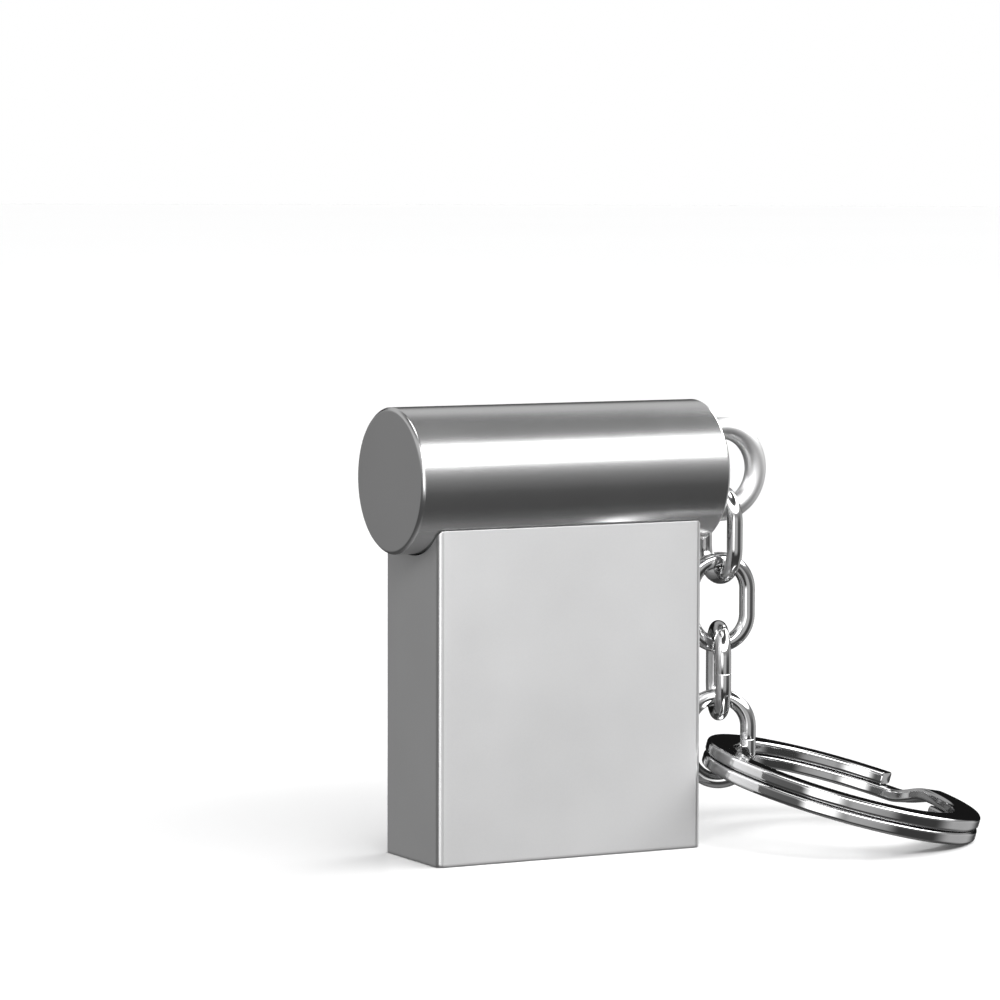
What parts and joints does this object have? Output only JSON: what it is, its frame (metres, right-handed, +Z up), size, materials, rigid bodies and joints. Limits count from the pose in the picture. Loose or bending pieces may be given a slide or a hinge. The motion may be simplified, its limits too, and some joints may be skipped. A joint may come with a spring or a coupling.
{
  "type": "usb flash drive",
  "caption": "Capped metal USB flash drive with a round barrel head, hung from a short chain with a split key ring.",
  "frame": {"origin": "centre of the cap's flat bottom face, which the drive stands on", "axes": "+X along the barrel towards the key eye, +Z up through the plug into the barrel, -Y the broad front face"},
  "size_m": [0.0389, 0.0179, 0.028],
  "materials": {
    "cap_metal": "satin",
    "barrel_metal": "satin",
    "eye_metal": "polished",
    "ring_chrome": "polished",
    "plug_steel": "satin",
    "black_plastic": "matte",
    "white_plastic": "matte",
    "board_laminate": "satin",
    "epoxy": "matte",
    "contact_gold": "polished",
    "silicon": "polished",
    "ceramic": "matte"
  },
  "bodies": {
    "cap": {"cap_shell": "cap_metal", "cap_liner": "white_plastic"},
    "drive": {"barrel_tube": "barrel_metal", "left_end_cap": "barrel_metal", "right_end_cap": "barrel_metal", "key_eye": "eye_metal", "core_front": "black_plastic", "core_back": "black_plastic", "neck_collar": "black_plastic", "plug_shell": "plug_steel", "plug_carrier": "white_plastic", "plug_stopper": "white_plastic", "module_board": "board_laminate", "module_mould": "epoxy", "contact_pads": "contact_gold", "controller_die": "silicon", "flash_die_stack": "silicon", "module_crystal": "plug_steel", "chip_capacitors": "ceramic"},
    "first_link": {"link_1": "ring_chrome"},
    "second_link": {"link_2": "ring_chrome"},
    "third_link": {"link_3": "ring_chrome"},
    "fourth_link": {"link_4": "ring_chrome"},
    "ring": {"split_ring": "ring_chrome"}
  },
  "joints": [
    {"name": "cap_pull", "type": "slide", "parent": "cap", "child": "drive", "axis": [0, 0, 1], "range_m": [0, 0.022]},
    {"name": "first_link_swing", "type": "hinge", "parent": "drive", "child": "first_link", "pos_m": [0.0126, 0, 0.02083], "axis": [1, 0, 0], "range_deg": [-70, 70]},
    {"name": "second_link_swing", "type": "hinge", "parent": "first_link", "child": "second_link", "pos_m": [0.0126, 0, 0.01665], "axis": [0, 1, 0], "range_deg": [-70, 4]},
    {"name": "third_link_swing", "type": "hinge", "parent": "second_link", "child": "third_link", "pos_m": [0.0126, 0, 0.01229], "axis": [-0.9827, 0.1851, 0], "range_deg": [-60, 60]},
    {"name": "fourth_link_swing", "type": "hinge", "parent": "third_link", "child": "fourth_link", "pos_m": [0.0126, 0, 0.00793], "axis": [-0.3638, -0.9315, 0], "range_deg": [-10, 60]},
    {"name": "ring_tilt", "type": "hinge", "parent": "fourth_link", "child": "ring", "pos_m": [0.0126, 0, 0.00532], "axis": [0.5299, 0.848, 0], "range_deg": [-60, 70]}
  ]
}
